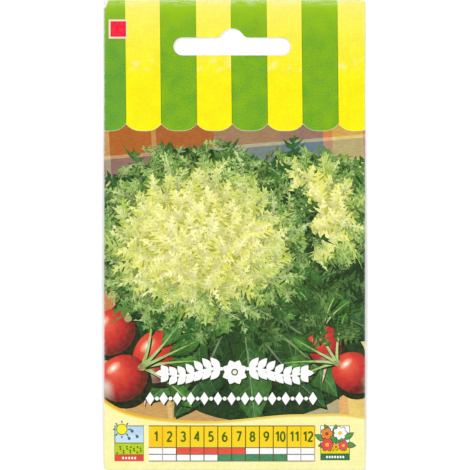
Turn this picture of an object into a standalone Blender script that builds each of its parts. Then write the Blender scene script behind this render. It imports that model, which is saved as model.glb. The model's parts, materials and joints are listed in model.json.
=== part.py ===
"""A paper seed packet that lies on its back: one sheet, folded and glued round a bed of seeds.

Metres, +Z up. The packet lies in the XY plane, its front up and its hang slot towards +Y.
The origin is the middle of the rectangle that it covers, on the surface that it lies on.

The sheet is a front panel with two wings, which fold back and overlap in a seam behind it,
and two flaps, which fold back over the ends of the wings. Films of glue hold the overlaps,
and one more holds the front to the wings round the slot, so the seeds stay below it.
"""

import math
import random

import bmesh
import bpy
from mathutils import Euler, Matrix

# The packet, from outside
WIDTH = 0.071
HEIGHT = 0.128
BULGE = 0.0026  # how far the seeds push the front out
FULLEST = 0.8  # the power that puts the fullest place below the middle; at 1 it is the middle
EDGE_LIFT = 0.0008  # how far the side folds come off the surface beside the seeds
FLAT_SHARE = 0.4  # of the width, which stays flat between them

# The sheet and its folds
PAPER = 0.00012
LAYER_GAP = 0.0001  # between two layers of paper, where the glue lies
FOLD_BOW = 0.0003  # how far a fold bows out past the panels it joins
CORNER_NOTCH = 0.0005  # cut out of the sheet beside each corner, so that the folds clear
TOP_FLAP = 0.018
BOTTOM_FLAP = 0.014
FLAP_TAPER = 0.0035  # what each side of a flap loses towards its free edge
LEFT_WING_END = 0.025  # x of its free edge; it lies outside the right wing
RIGHT_WING_END = 0.015
TUCK = 0.003  # the length in which a layer steps past the edge of another
TUCK_MARGIN = 0.0005  # the step keeps this far off that edge

# The hang slot: a bar with round ends, and a hump over its middle that flares into it
SLOT_LENGTH = 0.032
SLOT_BAR = 0.0049
SLOT_HUMP = 0.0025  # how far the hump rises above the bar
SLOT_HUMP_RADIUS = 0.0035
SLOT_FLARE_RADIUS = 0.0017
SLOT_X = -0.0007
SLOT_BELOW_TOP = 0.0151  # from the top of the packet to the bottom of the bar

# The glue films
GLUE = 0.00005
GLUE_CLEAR = 0.000025
GLUE_INSET = 0.0008  # from an edge of the paper
HEADER_SEAL = 0.0205  # how far down the front is glued to the wings

# The seeds
BED_CENTRE_Y = -0.018
BED_HALF_WIDTH = 0.023
BED_HALF_LENGTH = 0.036
BED_CLEAR = 0.00012
BED_SHARE = 0.5  # of the hollow's height
BED_SEGMENTS = 24
BED_RINGS = 8
SEED_COUNT = 190
SEED_LENGTH = 0.0026
SEED_CROWN = 0.00062  # the wide end's radius
SEED_TIP = 0.0003
SEED_FLATNESS = 0.75
SEED_SIDES = 5
SEED_TILT = math.radians(10)
SEED_PROUD = 0.0002  # how far a seed's middle stands off the bed
SEED_REACH = 0.93  # how far out the seeds go, as a share of the bed
SEED_CEILING_CLEAR = 0.00025
RANDOM_SEED = 7

# Finer steps in the curves
FOLD_STEPS = 4
FRONT_COLUMNS = 14
SEAM_COLUMNS = 4
LEFT_WING_COLUMNS = 12
RIGHT_WING_COLUMNS = 4
BELLY_ROWS = 16
SLOT_ARC_STEPS = 10
SLOT_FLARE_STEPS = 4
SLOT_SAME_POINT = 1e-6

PITCH = PAPER + LAYER_GAP
STACK = 2 * PITCH + PAPER  # from the outside of the wings to the outside of the front, at rest
SIDE = WIDTH / 2 - FOLD_BOW  # where the side folds begin
END = HEIGHT / 2 - FOLD_BOW  # where the top and bottom folds begin
TOP_FLAP_Y = HEIGHT / 2 - TOP_FLAP
BOTTOM_FLAP_Y = BOTTOM_FLAP - HEIGHT / 2
SEAL_Y = HEIGHT / 2 - HEADER_SEAL
SLOT_BOTTOM_Y = HEIGHT / 2 - SLOT_BELOW_TOP


def mix(a, b, share):
    return a + (b - a) * share


def spaced(start, stop, steps):
    """Evenly spaced values from start to stop, both included."""
    return [mix(start, stop, i / steps) for i in range(steps + 1)]


def smooth(value, start, stop):
    """0 before start and 1 after stop, with a smooth step between them."""
    share = min(1.0, max(0.0, (value - start) / (stop - start)))
    return share * share * (3 - 2 * share)


# The packet's surfaces, as heights above the surface that it lies on

def swell_along(y):
    """How full the packet is at height y, from 0 at the bottom fold and the header to 1."""
    share = (y + HEIGHT / 2) / (SEAL_Y + HEIGHT / 2)
    return math.sin(math.pi * share**FULLEST) if 0 < share < 1 else 0.0


def under_flap(y):
    """1 where a flap lies outside the wings, and 0 away from the flaps."""
    top = smooth(y, TOP_FLAP_Y - TUCK_MARGIN - TUCK, TOP_FLAP_Y - TUCK_MARGIN)
    bottom = smooth(-y, -BOTTOM_FLAP_Y - TUCK_MARGIN - TUCK, -BOTTOM_FLAP_Y - TUCK_MARGIN)
    return max(top, bottom)


def back_height(x, y):
    """The outside of the back, which is flat under the seeds."""
    lift = EDGE_LIFT * smooth(2 * abs(x) / WIDTH, FLAT_SHARE, 1) * swell_along(y)
    return lift + PITCH * under_flap(y)


def wing_height(x, y, side):
    """The outside of a wing. The right one, side 1, steps in to pass inside the left one."""
    tuck = 0.0
    if side > 0:
        start = LEFT_WING_END + TUCK_MARGIN
        tuck = PITCH * (1 - smooth(x, start, start + TUCK))
    return back_height(x, y) + tuck


def front_height(x, y):
    """The outside of the front panel."""
    swell = max(0.0, math.cos(math.pi * x / WIDTH)) * swell_along(y)
    return back_height(x, y) + STACK + BULGE * swell


# The folded sheet

def fold(edge, sign):
    """Places along a fold that begins at edge: (place, turn), turning from 0 to half a turn."""
    turns = spaced(0, math.pi, FOLD_STEPS)
    return [(sign * (edge + FOLD_BOW * math.sin(turn)), turn) for turn in turns]


def seam_xs():
    """The columns where the wings overlap, which both of them have."""
    return spaced(RIGHT_WING_END, LEFT_WING_END, SEAM_COLUMNS)


def left_wing_xs():
    """The left wing's columns from its fold to its free edge."""
    return spaced(-SIDE, RIGHT_WING_END, LEFT_WING_COLUMNS)[1:] + seam_xs()[1:]


def right_wing_xs():
    """The right wing's columns from its free edge to its fold."""
    return seam_xs() + spaced(LEFT_WING_END, SIDE, RIGHT_WING_COLUMNS)[1:-1]


def sheet_columns():
    """The sheet's columns from its left edge to its right, unfolded: (x, side, turn)."""
    inner = SIDE - CORNER_NOTCH
    return (
        [(x, -1, math.pi) for x in reversed(left_wing_xs())]
        + [(x, -1, turn) for x, turn in reversed(fold(SIDE, -1))]
        + [(x, 1, 0.0) for x in spaced(-inner, inner, FRONT_COLUMNS)]
        + [(x, 1, turn) for x, turn in fold(SIDE, 1)]
        + [(x, 1, math.pi) for x in reversed(right_wing_xs())]
    )


def panel_rows():
    """The rows of the front panel between its top and bottom folds, close together at a step."""
    inner = END - CORNER_NOTCH
    belly_low = BOTTOM_FLAP_Y + TUCK_MARGIN + TUCK
    belly_high = TOP_FLAP_Y - TUCK_MARGIN - TUCK
    return (
        spaced(-inner, BOTTOM_FLAP_Y + TUCK_MARGIN, 4)
        + spaced(BOTTOM_FLAP_Y + TUCK_MARGIN, belly_low, 3)[1:]
        + spaced(belly_low, belly_high, BELLY_ROWS)[1:]
        + spaced(belly_high, TOP_FLAP_Y - TUCK_MARGIN, 3)[1:]
        + spaced(TOP_FLAP_Y - TUCK_MARGIN, inner, 3)[1:]
    )


def sheet_rows():
    """The sheet's rows from the bottom flap's free edge to the top flap's: (y, turn)."""
    bottom_flap = spaced(BOTTOM_FLAP_Y, -END, 3)[:-1]
    top_flap = spaced(END, TOP_FLAP_Y, 3)[1:]
    return (
        [(y, math.pi) for y in bottom_flap]
        + list(reversed(fold(END, -1)))
        + [(y, 0.0) for y in panel_rows()]
        + fold(END, 1)
        + [(y, math.pi) for y in top_flap]
    )


def folded(column, row):
    """Where a point of the sheet lies once the packet is folded."""
    x, side, side_turn = column
    y, end_turn = row
    near_x = min(SIDE, max(-SIDE, x))
    near_y = min(END, max(-END, y))
    z = front_height(near_x, near_y)
    if end_turn:
        z = mix(z, 0.0, (1 - math.cos(end_turn)) / 2)
        if end_turn == math.pi:
            length = TOP_FLAP if y > 0 else BOTTOM_FLAP
            x *= 1 - FLAP_TAPER / SIDE * (HEIGHT / 2 - abs(y)) / length
    elif side_turn:
        z = mix(z, wing_height(near_x, y, side), (1 - math.cos(side_turn)) / 2)
    return x, y, z


def is_cut_away(columns, rows):
    """Whether a cell between these two columns and rows lies in a corner of the blank."""
    panel_x = all(not turn and abs(x) < SIDE for x, _, turn in columns)
    panel_y = all(not turn and abs(y) < END for y, turn in rows)
    side_fold = all(abs(x) >= SIDE or turn for x, _, turn in columns)
    end_fold = all(abs(y) >= END or turn for y, turn in rows)
    in_wing = side_fold and panel_y
    in_flap = end_fold and panel_x
    in_panel = not side_fold and not end_fold
    return not (in_wing or in_flap or in_panel)


def fold_sheet(collection):
    columns, rows = sheet_columns(), sheet_rows()
    bm = bmesh.new()
    bmesh.ops.create_grid(bm, x_segments=len(columns) - 1, y_segments=len(rows) - 1, size=0.5)
    place = {
        v: (round((v.co.x + 0.5) * (len(columns) - 1)), round((v.co.y + 0.5) * (len(rows) - 1)))
        for v in bm.verts
    }
    waste = []
    for face in bm.faces:
        across = sorted({place[v][0] for v in face.verts})
        along = sorted({place[v][1] for v in face.verts})
        if is_cut_away([columns[i] for i in across], [rows[j] for j in along]):
            waste.append(face)
    bmesh.ops.delete(bm, geom=waste, context="FACES")
    for v in bm.verts:
        i, j = place[v]
        v.co = folded(columns[i], rows[j])
    packet = add_mesh("packet", bm, collection)
    shell = packet.modifiers.new("paper thickness", "SOLIDIFY")
    shell.thickness = PAPER
    shell.offset = -1
    shell.use_even_offset = True
    return packet


# What is cut and what is laid between the layers

def add_mesh(name, bm, collection):
    mesh = bpy.data.meshes.new(name)
    bm.to_mesh(mesh)
    bm.free()
    made = bpy.data.objects.new(name, mesh)
    collection.objects.link(made)
    return made


def slot_outline():
    """The slot's outline, anticlockwise, from the bottom right of its bar."""
    radius = SLOT_BAR / 2
    reach = SLOT_LENGTH / 2 - radius
    axis_y = SLOT_BOTTOM_Y + radius
    bar_top = SLOT_BOTTOM_Y + SLOT_BAR
    hump_y = bar_top + SLOT_HUMP - SLOT_HUMP_RADIUS
    flare_y = bar_top + SLOT_FLARE_RADIUS
    between = SLOT_HUMP_RADIUS + SLOT_FLARE_RADIUS
    meeting = math.asin((flare_y - hump_y) / between)
    flare_x = between * math.cos(meeting)
    quarter = math.pi / 2
    arcs = (
        (reach, axis_y, radius, -quarter, quarter, SLOT_ARC_STEPS),
        (flare_x, flare_y, SLOT_FLARE_RADIUS, -quarter, meeting - math.pi, SLOT_FLARE_STEPS),
        (0, hump_y, SLOT_HUMP_RADIUS, meeting, math.pi - meeting, SLOT_ARC_STEPS),
        (-flare_x, flare_y, SLOT_FLARE_RADIUS, -meeting, -quarter, SLOT_FLARE_STEPS),
        (-reach, axis_y, radius, quarter, 3 * quarter, SLOT_ARC_STEPS),
    )
    outline = []
    for x, y, r, start, stop, steps in arcs:
        for angle in spaced(start, stop, steps):
            point = (SLOT_X + x + r * math.cos(angle), y + r * math.sin(angle))
            if not outline or math.dist(point, outline[-1]) > SLOT_SAME_POINT:
                outline.append(point)
    return outline


def make_punch(collection):
    """The cutter of the hang slot, which goes through every layer."""
    curve = bpy.data.curves.new("slot punch outline", "CURVE")
    curve.dimensions = "2D"
    curve.fill_mode = "BOTH"
    curve.extrude = SLOT_BAR / 2
    points = slot_outline()
    spline = curve.splines.new("POLY")
    spline.points.add(len(points) - 1)
    spline.use_cyclic_u = True
    for point, (x, y) in zip(spline.points, points):
        point.co = (x, y, 0, 1)
    drawn = bpy.data.objects.new("slot punch outline", curve)
    collection.objects.link(drawn)
    bpy.context.view_layer.update()
    evaluated = drawn.evaluated_get(bpy.context.evaluated_depsgraph_get())
    bm = bmesh.new()
    bm.from_mesh(bpy.data.meshes.new_from_object(evaluated))
    bmesh.ops.remove_doubles(bm, verts=bm.verts, dist=SLOT_SAME_POINT)
    bmesh.ops.recalc_face_normals(bm, faces=bm.faces)
    punch = add_mesh("slot_punch", bm, collection)
    bpy.data.objects.remove(drawn)
    punch.hide_render = True
    punch.display_type = "WIRE"
    return punch


def punch_through(obj, punch):
    cut = obj.modifiers.new("hang slot", "BOOLEAN")
    cut.operation = "DIFFERENCE"
    cut.solver = "EXACT"
    cut.object = punch


def slab(name, xs, ys, low, high, collection):
    """A closed layer over the grid xs by ys, between the heights low(x, y) and high(x, y)."""
    bm = bmesh.new()
    bmesh.ops.create_grid(bm, x_segments=len(xs) - 1, y_segments=len(ys) - 1, size=0.5)
    for v in bm.verts:
        x = xs[round((v.co.x + 0.5) * (len(xs) - 1))]
        y = ys[round((v.co.y + 0.5) * (len(ys) - 1))]
        v.co = (x, y, low(x, y))
    raised = bmesh.ops.extrude_face_region(bm, geom=bm.faces[:])["geom"]
    for v in raised:
        if isinstance(v, bmesh.types.BMVert):
            v.co.z = high(v.co.x, v.co.y)
    bmesh.ops.recalc_face_normals(bm, faces=bm.faces)
    return add_mesh(name, bm, collection)


def add_glue(collection, punch):
    """The films between the layers. The slot goes through the two in the header."""
    flap_half = SIDE - CORNER_NOTCH - FLAP_TAPER - GLUE_INSET
    flap_xs = [-flap_half, flap_half]
    seam_edges = RIGHT_WING_END + GLUE_INSET, LEFT_WING_END - GLUE_INSET
    films = {
        "glue_bottom_flap": (flap_xs, [GLUE_INSET - END, BOTTOM_FLAP_Y - GLUE_INSET], None),
        "glue_top_flap": (flap_xs, [TOP_FLAP_Y + GLUE_INSET, END - GLUE_INSET], None),
        "glue_side_seam": (
            [seam_edges[0]] + seam_xs()[1:-1] + [seam_edges[1]],
            [y for y in panel_rows() if abs(y) < END - GLUE_INSET],
            -1,
        ),
    }
    made = {}
    for name, (xs, ys, wing) in films.items():
        def low(x, y):
            return (wing_height(x, y, wing) if wing else 0.0) + PAPER + GLUE_CLEAR

        made[name] = slab(name, xs, ys, low, lambda x, y: low(x, y) + GLUE, collection)

    step_end = RIGHT_WING_END - GLUE_INSET
    made["glue_header_seal"] = slab(
        "glue_header_seal",
        [GLUE_INSET - SIDE, step_end - GLUE_INSET, step_end] + right_wing_xs(),
        [SEAL_Y + TUCK, END - GLUE_INSET - CORNER_NOTCH],
        lambda x, y: wing_height(x, y, 1 if x >= step_end else -1) + PAPER + GLUE_CLEAR,
        lambda x, y: front_height(x, y) - PAPER - GLUE_CLEAR,
        collection,
    )
    for name in ("glue_top_flap", "glue_header_seal"):
        punch_through(made[name], punch)
    return made.values()


def hollow_floor(x, y):
    """The inner face of the back, with the seam's extra layer everywhere."""
    return back_height(x, y) + PITCH + PAPER


def hollow_ceiling(x, y):
    return front_height(x, y) - PAPER


def bed_height(x, y, rise):
    """A height in the bed's core, for a rise from 0 at its underside to 1 at its top."""
    low = hollow_floor(x, y) + BED_CLEAR
    high = hollow_ceiling(x, y) - BED_CLEAR
    return mix(low, high, BED_SHARE * rise)


def seed_bed():
    """The core of the heap, a lens that fills half of the hollow's height."""
    bm = bmesh.new()
    bmesh.ops.create_uvsphere(bm, u_segments=BED_SEGMENTS, v_segments=BED_RINGS, radius=1)
    for v in bm.verts:
        x = BED_HALF_WIDTH * v.co.x
        y = BED_CENTRE_Y + BED_HALF_LENGTH * v.co.y
        v.co = (x, y, bed_height(x, y, (v.co.z + 1) / 2))
    return bm


def add_seed(collection, number, draw):
    """One seed, a wedge with a wide crown, laid on the bed at its place in a spiral."""
    golden_angle = math.pi * (3 - math.sqrt(5))
    reach = SEED_REACH * math.sqrt((number + 0.5) / SEED_COUNT)
    x = BED_HALF_WIDTH * reach * math.cos(number * golden_angle)
    y = BED_CENTRE_Y + BED_HALF_LENGTH * reach * math.sin(number * golden_angle)
    tilt = draw.uniform(-SEED_TILT, SEED_TILT)
    turn = draw.uniform(0, 2 * math.pi)
    half_height = SEED_FLATNESS * SEED_CROWN + SEED_LENGTH / 2 * math.sin(abs(tilt))
    highest = hollow_ceiling(x, y) - SEED_CEILING_CLEAR - half_height
    core_top = bed_height(x, y, (1 + math.sqrt(1 - reach**2)) / 2)
    z = min(core_top + SEED_PROUD, highest)
    bm = bmesh.new()
    bmesh.ops.create_cone(
        bm,
        cap_ends=True,
        segments=SEED_SIDES,
        radius1=SEED_CROWN,
        radius2=SEED_TIP,
        depth=SEED_LENGTH,
    )
    bmesh.ops.transform(bm, matrix=Euler((0, math.pi / 2, 0)).to_matrix().to_4x4(), verts=bm.verts)
    bmesh.ops.scale(bm, vec=(1, 1, SEED_FLATNESS), verts=bm.verts)
    bmesh.ops.transform(
        bm,
        matrix=Matrix.Translation((x, y, z)) @ Euler((0, tilt, turn)).to_matrix().to_4x4(),
        verts=bm.verts,
    )
    add_mesh(f"seed {number}", bm, collection)


def add_seeds(collection, tools):
    """The heap: its seeds joined to the core in one solid."""
    heap = add_mesh("seeds", seed_bed(), collection)
    loose = bpy.data.collections.new("loose seeds")
    tools.children.link(loose)
    draw = random.Random(RANDOM_SEED)
    for number in range(SEED_COUNT):
        add_seed(loose, number, draw)
    join = heap.modifiers.new("join the seeds", "BOOLEAN")
    join.operation = "UNION"
    join.operand_type = "COLLECTION"
    join.solver = "MANIFOLD"
    join.collection = loose
    graph = bpy.context.evaluated_depsgraph_get()
    graph.update()
    joined = bpy.data.meshes.new_from_object(heap.evaluated_get(graph))
    heap.modifiers.clear()
    heap.data = joined
    for seed in list(loose.objects):
        bpy.data.objects.remove(seed)
    bpy.data.collections.remove(loose)
    return heap


def finish(obj, colour, roughness):
    material = bpy.data.materials.new(obj.name)
    material.use_nodes = True
    shader = material.node_tree.nodes["Principled BSDF"]
    shader.inputs["Base Color"].default_value = (*colour, 1)
    shader.inputs["Roughness"].default_value = roughness
    shader.inputs["Metallic"].default_value = 0
    obj.data.materials.clear()
    obj.data.materials.append(material)


def main():
    for obj in list(bpy.data.objects):
        bpy.data.objects.remove(obj)
    parts = bpy.data.collections.new("seed packet")
    tools = bpy.data.collections.new("cutters")
    bpy.context.scene.collection.children.link(parts)
    bpy.context.scene.collection.children.link(tools)

    punch = make_punch(tools)
    packet = fold_sheet(parts)
    punch_through(packet, punch)
    finish(packet, colour=(0.98, 0.93, 0.45), roughness=0.35)
    for film in add_glue(parts, punch):
        finish(film, colour=(0.85, 0.82, 0.70), roughness=0.3)
    finish(add_seeds(parts, tools), colour=(0.45, 0.33, 0.19), roughness=0.7)


main()
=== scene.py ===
import json
import math
import random

import bpy
import numpy as np
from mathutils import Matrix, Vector
from mathutils.bvhtree import BVHTree
from mathutils.geometry import delaunay_2d_cdt

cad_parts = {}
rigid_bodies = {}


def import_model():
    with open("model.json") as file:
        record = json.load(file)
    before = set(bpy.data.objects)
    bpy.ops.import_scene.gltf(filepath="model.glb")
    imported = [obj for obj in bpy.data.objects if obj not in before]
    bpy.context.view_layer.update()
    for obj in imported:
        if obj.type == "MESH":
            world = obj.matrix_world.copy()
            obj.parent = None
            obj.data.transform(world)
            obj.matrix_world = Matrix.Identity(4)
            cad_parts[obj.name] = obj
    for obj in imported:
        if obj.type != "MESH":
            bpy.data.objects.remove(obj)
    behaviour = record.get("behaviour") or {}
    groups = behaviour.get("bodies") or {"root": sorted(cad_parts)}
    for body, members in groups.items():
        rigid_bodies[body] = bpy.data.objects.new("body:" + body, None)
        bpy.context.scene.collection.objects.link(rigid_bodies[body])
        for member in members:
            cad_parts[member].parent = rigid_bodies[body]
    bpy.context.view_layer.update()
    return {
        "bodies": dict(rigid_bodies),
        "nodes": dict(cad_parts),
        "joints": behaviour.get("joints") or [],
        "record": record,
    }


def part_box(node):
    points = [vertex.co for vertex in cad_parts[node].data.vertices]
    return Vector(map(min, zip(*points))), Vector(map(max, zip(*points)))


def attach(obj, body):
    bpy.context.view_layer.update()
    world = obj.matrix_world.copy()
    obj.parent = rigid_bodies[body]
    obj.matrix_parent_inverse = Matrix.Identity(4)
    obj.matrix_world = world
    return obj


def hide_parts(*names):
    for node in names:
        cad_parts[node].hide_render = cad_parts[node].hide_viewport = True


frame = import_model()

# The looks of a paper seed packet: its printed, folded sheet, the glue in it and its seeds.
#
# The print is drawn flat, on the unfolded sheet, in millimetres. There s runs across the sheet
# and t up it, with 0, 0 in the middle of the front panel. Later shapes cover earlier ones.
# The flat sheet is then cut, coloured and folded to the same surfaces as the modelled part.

MM = 0.001

# The packet, in millimetres, as it is modelled, but with a smaller notch at its corners
LOW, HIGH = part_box("packet")
WIDTH = (HIGH.x - LOW.x) / MM
HEIGHT = (HIGH.y - LOW.y) / MM
BULGE = 2.6
FULLEST = 0.8
EDGE_LIFT = 0.8
FLAT_SHARE = 0.4
PAPER = 0.12
PITCH = 0.22
FOLD_BOW = 0.3
CORNER_NOTCH = 0.15
TOP_FLAP = 18.0
BOTTOM_FLAP = 14.0
FLAP_TAPER = 3.5
LEFT_WING_END = 25.0
RIGHT_WING_END = 15.0
TUCK = 3.0
TUCK_MARGIN = 0.5
SLOT_LENGTH = 32.0
SLOT_BAR = 4.9
SLOT_HUMP = 2.5
SLOT_HUMP_RADIUS = 3.5
SLOT_FLARE_RADIUS = 1.7
SLOT_X = -0.7
SLOT_BELOW_TOP = 15.1
HEADER_SEAL = 20.5

STACK = 2 * PITCH + PAPER
SIDE = WIDTH / 2 - FOLD_BOW
END = HEIGHT / 2 - FOLD_BOW
FOLD_ARC = 0.9  # the length of paper in a fold
TOP_FLAP_Y = HEIGHT / 2 - TOP_FLAP
BOTTOM_FLAP_Y = BOTTOM_FLAP - HEIGHT / 2
SEAL_Y = HEIGHT / 2 - HEADER_SEAL
SLOT_BOTTOM_Y = HEIGHT / 2 - SLOT_BELOW_TOP

# Where the back's layers start to step down beside a flap, and beside the upper wing
TOP_STEP = TOP_FLAP_Y - TUCK_MARGIN
BOTTOM_STEP = BOTTOM_FLAP_Y + TUCK_MARGIN
WING_STEP = LEFT_WING_END + TUCK_MARGIN

# The flat sheet. What is at x on the folded right wing is at BEHIND - x, on the left at -BEHIND - x.
BEHIND = 2 * SIDE + FOLD_ARC
LEFT_END = -(SIDE + FOLD_ARC + SIDE + LEFT_WING_END)
RIGHT_END = SIDE + FOLD_ARC + SIDE - RIGHT_WING_END
TOP_END = END + FOLD_ARC + END - TOP_FLAP_Y
BOTTOM_END = -(END + FOLD_ARC + END + BOTTOM_FLAP_Y)

PAPER_WHITE = 0.82  # the share of light that the unprinted paper sends back
SCREEN_PITCH = 0.73
# The height of the painted highlights under the slot
SLOT_HIGHLIGHT_Y = 46.6

RIPPLE = 0.04
GRID = 2.5  # between the points that let the flat sheet bend
INNER_GRID = 4.0
SAME_POINT = 1e-4
CUT_AWAY = -1
RANDOM_SEED = 11


def mix(a, b, share):
    return a + (b - a) * share


def smooth(value, start, stop):
    share = np.clip((value - start) / (stop - start), 0, 1)
    return share * share * (3 - 2 * share)


def spaced(start, stop, steps):
    return [mix(start, stop, i / steps) for i in range(steps + 1)]


# The folded surfaces, as heights over the floor, on arrays of points

def swell_along(y):
    share = np.clip((y + HEIGHT / 2) / (SEAL_Y + HEIGHT / 2), 0, 1)
    return np.sin(math.pi * share**FULLEST)


def back_height(x, y):
    top = smooth(y, TOP_STEP - TUCK, TOP_STEP)
    bottom = smooth(-y, -BOTTOM_STEP - TUCK, -BOTTOM_STEP)
    lift = EDGE_LIFT * smooth(2 * np.abs(x) / WIDTH, FLAT_SHARE, 1) * swell_along(y)
    return lift + PITCH * np.maximum(top, bottom)


def wing_height(x, y, right):
    tuck = PITCH * (1 - smooth(x, WING_STEP, WING_STEP + TUCK))
    return back_height(x, y) + np.where(right, tuck, 0)


def ripples(x, y):
    """The paper's slight waves where the swell runs out towards the two ends."""
    near_top = np.exp(-((y - SEAL_Y + 9) / 8)**2) * np.cos(2 * math.pi * x / 13 + 0.6)
    near_foot = np.exp(-((y + HEIGHT / 2 - 11) / 7)**2) * np.cos(2 * math.pi * x / 11)
    return RIPPLE * (near_top + near_foot) * np.cos(math.pi * x / WIDTH)


def front_height(x, y):
    swell = np.maximum(0, np.cos(math.pi * x / WIDTH)) * swell_along(y)
    return back_height(x, y) + STACK + BULGE * swell + ripples(x, y)


def fold_over(along, edge):
    """(place, turn) of a distance along the sheet that folds back at -edge and edge."""
    past = np.abs(along) - edge
    turn = math.pi * np.clip(past / FOLD_ARC, 0, 1)
    behind = np.maximum(0, past - FOLD_ARC)
    place = np.minimum(np.abs(along), edge) + FOLD_BOW * np.sin(turn) - behind
    return np.sign(along) * place, turn


def folded(s, t):
    """The place in millimetres of points of the flat sheet, on the sheet's printed side."""
    x, side_turn = fold_over(s, SIDE)
    y, end_turn = fold_over(t, END)
    near_x = np.clip(x, -SIDE, SIDE)
    near_y = np.clip(y, -END, END)
    front = front_height(near_x, near_y)
    wing = wing_height(near_x, near_y, s > 0)
    z = mix(front, wing, (1 - np.cos(side_turn)) / 2)
    z = np.where(end_turn > 0, mix(front, 0.0, (1 - np.cos(end_turn)) / 2), z)
    return np.stack([x, y, z], axis=1)


def outward(s, t, step=0.01):
    """The printed side's normals."""
    across = folded(s + step, t) - folded(s - step, t)
    up = folded(s, t + step) - folded(s, t - step)
    normal = np.cross(across, up)
    return normal / np.linalg.norm(normal, axis=1, keepdims=True)


# Colours and inks

def linear(code):
    """A colour code such as 80b52c as linear red, green and blue. What is linear stays as it is."""
    if not isinstance(code, str):
        return code
    levels = [int(code[i:i + 2], 16) / 255 for i in (0, 2, 4)]
    return np.array([v / 12.92 if v <= 0.04045 else ((v + 0.055) / 1.055) ** 2.4 for v in levels])


def shades(codes):
    """Colour codes with spaces between them, as a list of linear colours."""
    return [linear(code) for code in codes.split()]


STRANDS = (0.6, 2.8)  # grains of a colour in a millimetre, along and across
SPECKS = (3.2, 3.2)


class Ink:
    """What a shape is printed with: a light and a deep colour that mingle in grains.

    The grains follow the shape's own frame. shade, where there is one, takes the two colours
    and arrays of places in that frame and returns the colours there.
    """

    def __init__(self, light, deep=None, frame=(0, 0, 0), bend=0.0, shade=None, grain=STRANDS):
        self.light = linear(light)
        self.deep = self.light if deep is None else linear(deep)
        self.x, self.y, self.angle = frame
        self.bend = bend
        self.shade = shade
        self.grain = grain

    def own_frame(self, s, t):
        """Places along and across the shape, for a shape that curves by bend a millimetre."""
        c, n = math.cos(self.angle), math.sin(self.angle)
        along = (s - self.x) * c + (t - self.y) * n
        across = (t - self.y) * c - (s - self.x) * n
        return along, across - self.bend * along**2 / 2

    def colours(self, s, t):
        along, across = self.own_frame(s, t)
        light = np.repeat(self.light[None], len(s), 0)
        deep = np.repeat(self.deep[None], len(s), 0)
        if self.shade:
            light, deep = self.shade(light, deep, along, across)
        seed = np.full(len(s), (self.x + 3 * self.y) % 7)
        return light, deep, np.stack([along * self.grain[0], across * self.grain[1], seed], 1)


class Sheet:
    """The flat sheet's shapes, each over the ones before it. Plain ink may be given by its codes."""

    def __init__(self):
        self.shapes = []

    def lay(self, points, ink):
        self.shapes.append((points, Ink(*ink.split()) if isinstance(ink, str) else ink))

    def box(self, x0, y0, x1, y1, ink):
        self.lay([(x0, y0), (x1, y0), (x1, y1), (x0, y1)], ink)


# Outlines

def arc(x, y, rx, ry, start, stop, steps=10):
    """Points on an ellipse between two angles in degrees."""
    turns = [math.radians(a) for a in spaced(start, stop, steps)]
    return [(x + rx * math.cos(a), y + ry * math.sin(a)) for a in turns]


def ellipse(x, y, rx, ry=None, turn=0.0, steps=24):
    ry = ry or rx
    c, n = math.cos(turn), math.sin(turn)
    points = []
    for i in range(steps):
        a = 2 * math.pi * i / steps
        u, v = rx * math.cos(a), ry * math.sin(a)
        points.append((x + u * c - v * n, y + u * n + v * c))
    return points


def curved(along, across, frame, bend=0.0):
    """A point of a shape's own frame, on the flat sheet."""
    x, y, angle = frame
    across += bend * along**2 / 2
    c, n = math.cos(angle), math.sin(angle)
    return x + along * c - across * n, y + along * n + across * c


def leaf_outline(frame, length, width, bend=0.0, steps=9, waist=0.45, wave=0.0):
    """A leaf, widest at waist of its length, its edge waved by a share of its width."""
    power = math.log(0.5) / math.log(waist)
    sides = ([], [])
    for i in range(1, steps):
        u = i / steps
        swell = math.sin(math.pi * u**power) * width / 2
        for sign, side in ((1, sides[0]), (-1, sides[1])):
            ruffle = 1 + wave * math.sin(2.6 * i + 1.3 * sign)
            side.append((u * length, -sign * swell * ruffle))
    edge = [(0, 0)] + sides[0] + [(length, 0)] + sides[1][::-1]
    return [curved(u, v, frame, bend) for u, v in edge]


def frond_outline(frame, length, width, bend, fingers, draw):
    """A curly leaf: a slim rib with a row of narrow, curved fingers on each side."""
    rib = 0.035 * width + 0.08
    pitch = 0.92 * length / fingers
    sides = ([], [])
    for sign, edge in ((-1, sides[0]), (1, sides[1])):
        for k in range(fingers):
            foot = length * 0.04 + pitch * k
            reach = width / 2 * math.sin(math.pi * (0.14 + 0.74 * (k + 0.5) / fingers))
            reach *= draw.uniform(0.7, 1.25)
            lean = reach * draw.uniform(0.15, 0.85)
            curl = pitch * draw.uniform(-0.35, 0.6)
            edge += [
                (foot, sign * rib),
                (foot + 0.35 * lean, sign * reach * 0.55),
                (foot + lean + curl, sign * reach),
                (foot + 0.62 * pitch + 0.15 * lean, sign * mix(rib, reach, 0.12)),
            ]
    edge = sides[0] + [(length, 0)] + sides[1][::-1]
    return [curved(u, v, frame, bend) for u, v in edge]


def ribbon(points, start_width, end_width):
    """The outline of an open line that tapers from one width to the other."""
    right, left = [], []
    for i, (x, y) in enumerate(points):
        x0, y0 = points[max(i - 1, 0)]
        x1, y1 = points[min(i + 1, len(points) - 1)]
        half = mix(start_width, end_width, i / (len(points) - 1)) / 2 / math.dist((x0, y0), (x1, y1))
        right.append((x + (y1 - y0) * half, y - (x1 - x0) * half))
        left.append((x - (y1 - y0) * half, y + (x1 - x0) * half))
    return right + left[::-1]


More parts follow.
